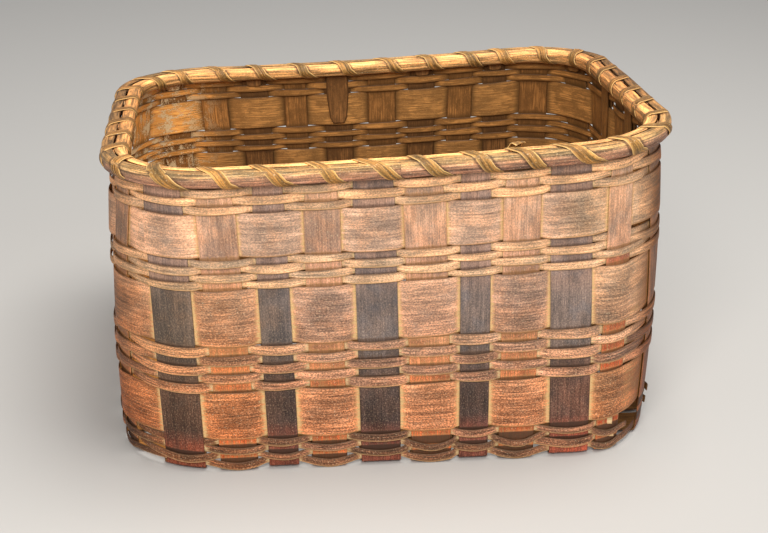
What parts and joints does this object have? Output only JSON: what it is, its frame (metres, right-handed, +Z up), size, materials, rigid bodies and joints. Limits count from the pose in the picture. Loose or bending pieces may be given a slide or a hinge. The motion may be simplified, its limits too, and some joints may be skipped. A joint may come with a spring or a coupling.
{
  "type": "splint basket",
  "caption": "Open rectangular splint basket with rounded corners, a plaited base, wide and narrow woven bands, and a rim of two hoops bound by a spiral lashing.",
  "frame": {"origin": "on the standing surface, under the middle of the basket's bounding box", "axes": "+Z up, +X along the long side, +Y from the front side to the back side"},
  "size_m": [0.439, 0.3434, 0.2649],
  "materials": {
    "dark_stake": "dark stained splint, matte",
    "red_stake": "red-brown stained splint, matte",
    "side_stake": "brown stained splint, matte",
    "wide_weaver": "mid brown stained splint with a low sheen",
    "narrow_weaver": "worn grey-brown splint with a low sheen",
    "hoop": "golden tan wood with a low sheen",
    "lashing": "pale golden splint with a low sheen"
  },
  "bodies": {
    "root": {"cross_stake_01": "dark_stake", "cross_stake_02": "red_stake", "cross_stake_03": "dark_stake", "cross_stake_04": "red_stake", "cross_stake_05": "dark_stake", "cross_stake_06": "red_stake", "cross_stake_07": "dark_stake", "cross_stake_08": "red_stake", "cross_stake_09": "dark_stake", "cross_stake_10": "red_stake", "long_stake_01": "side_stake", "long_stake_02": "side_stake", "long_stake_03": "side_stake", "long_stake_04": "side_stake", "long_stake_05": "side_stake", "long_stake_06": "side_stake", "long_stake_07": "side_stake", "long_stake_08": "side_stake", "narrow_weaver_01": "narrow_weaver", "narrow_weaver_02": "narrow_weaver", "narrow_weaver_03": "narrow_weaver", "narrow_weaver_04": "narrow_weaver", "narrow_weaver_05": "narrow_weaver", "narrow_weaver_06": "narrow_weaver", "narrow_weaver_07": "narrow_weaver", "narrow_weaver_08": "narrow_weaver", "narrow_weaver_09": "narrow_weaver", "narrow_weaver_10": "narrow_weaver", "narrow_weaver_11": "narrow_weaver", "narrow_weaver_12": "narrow_weaver", "narrow_weaver_13": "narrow_weaver", "narrow_weaver_14": "narrow_weaver", "narrow_weaver_15": "narrow_weaver", "narrow_weaver_16": "narrow_weaver", "narrow_weaver_17": "narrow_weaver", "wide_weaver_low": "wide_weaver", "wide_weaver_middle": "wide_weaver", "wide_weaver_high": "wide_weaver", "rim_hoop_outer": "hoop", "rim_hoop_inner": "hoop", "rim_lashing": "lashing"}
  },
  "joints": []
}
